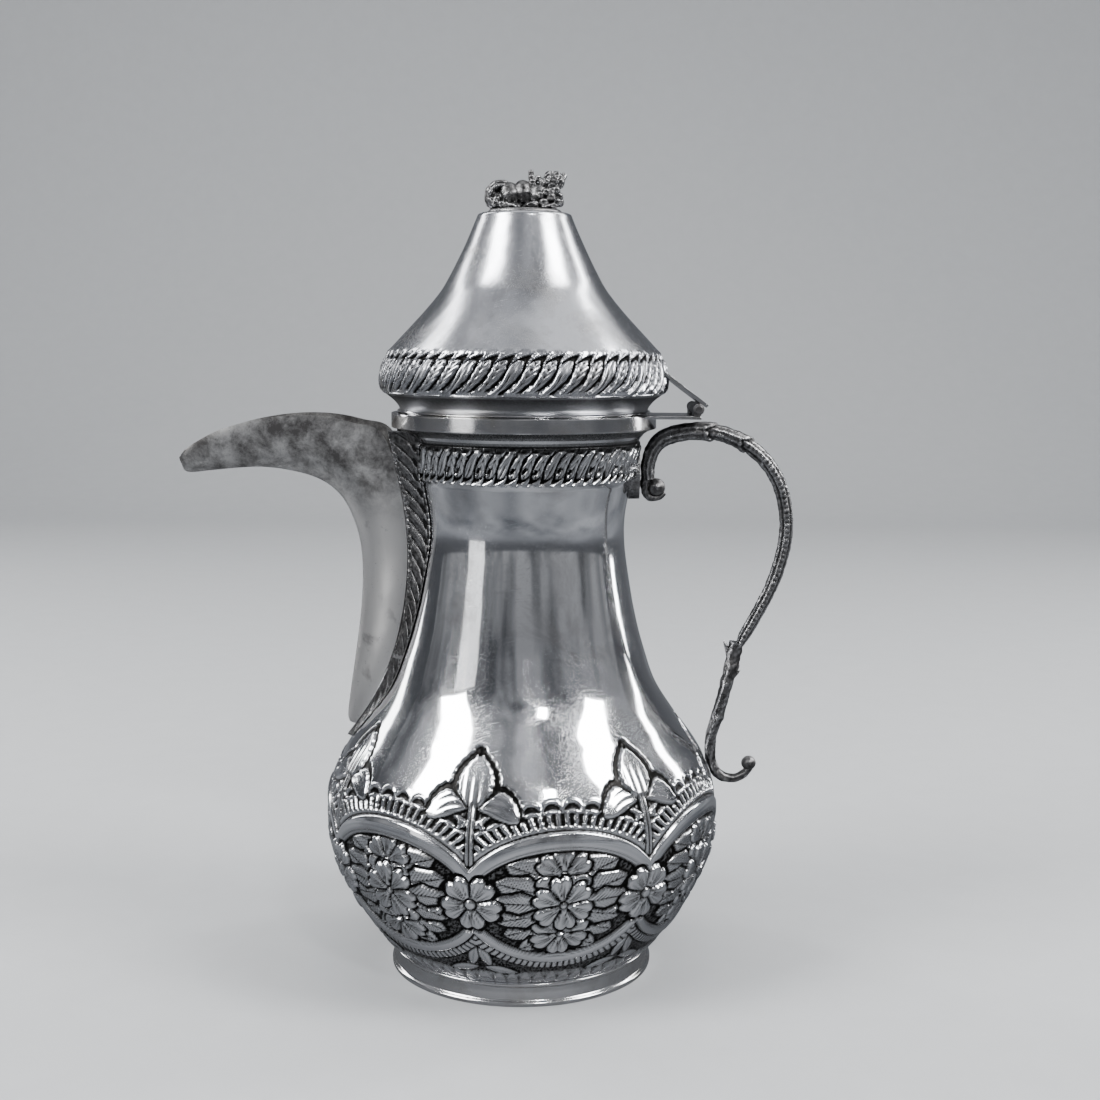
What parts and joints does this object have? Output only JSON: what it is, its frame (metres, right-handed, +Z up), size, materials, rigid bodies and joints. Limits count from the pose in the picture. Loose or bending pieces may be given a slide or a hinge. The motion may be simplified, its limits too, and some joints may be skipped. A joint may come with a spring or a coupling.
{
  "type": "dallah coffee pot",
  "caption": "Pear-shaped chased metal coffee pot with a long open beak spout, a cast scroll handle and a hinged cone lid with a flower finial.",
  "frame": {"origin": "centre of the underside of the foot ring, on the body's axis", "axes": "+Z up along the body's axis; the spout points along -X; the handle and the hinge stand on +X; Y is across the pot, along the hinge pin"},
  "size_m": [0.2082, 0.1336, 0.2702],
  "materials": {
    "polished_silver": "polished raised silver, fine scratches, oxidised chasing",
    "satin_silver": "softly polished silver with slanting polishing streaks",
    "brushed_silver": "plain silver strip, brushed along its length",
    "tarnished_silver": "dull silver sheet, mottled tarnish towards the tip",
    "oxidised_silver": "rough cast silver, blackened in the hollows"
  },
  "bodies": {
    "pot": {"body_shell": "polished_silver", "base_disc": "brushed_silver", "foot_ring": "brushed_silver", "rim_collar": "brushed_silver", "spout_trough": "tarnished_silver", "spout_saddle": "oxidised_silver", "handle_bar": "oxidised_silver", "handle_branch": "oxidised_silver", "handle_pad": "oxidised_silver", "hinge_lower_leaf": "brushed_silver", "hinge_knuckle_front": "oxidised_silver", "hinge_knuckle_back": "oxidised_silver", "hinge_pin": "oxidised_silver"},
    "lid": {"lid_dome": "satin_silver", "lid_flange": "brushed_silver", "lid_bezel": "brushed_silver", "hinge_strap": "brushed_silver", "hinge_lid_knuckle": "oxidised_silver", "finial_base": "oxidised_silver", "finial_spray": "oxidised_silver", "finial_stud": "brushed_silver", "finial_washer": "brushed_silver", "finial_nut": "brushed_silver"}
  },
  "joints": [
    {"name": "lid_hinge", "type": "hinge", "parent": "pot", "child": "lid", "pos_m": [0.0579, 0, 0.193], "axis": [0, 1, 0], "range_deg": [0, 82]}
  ]
}
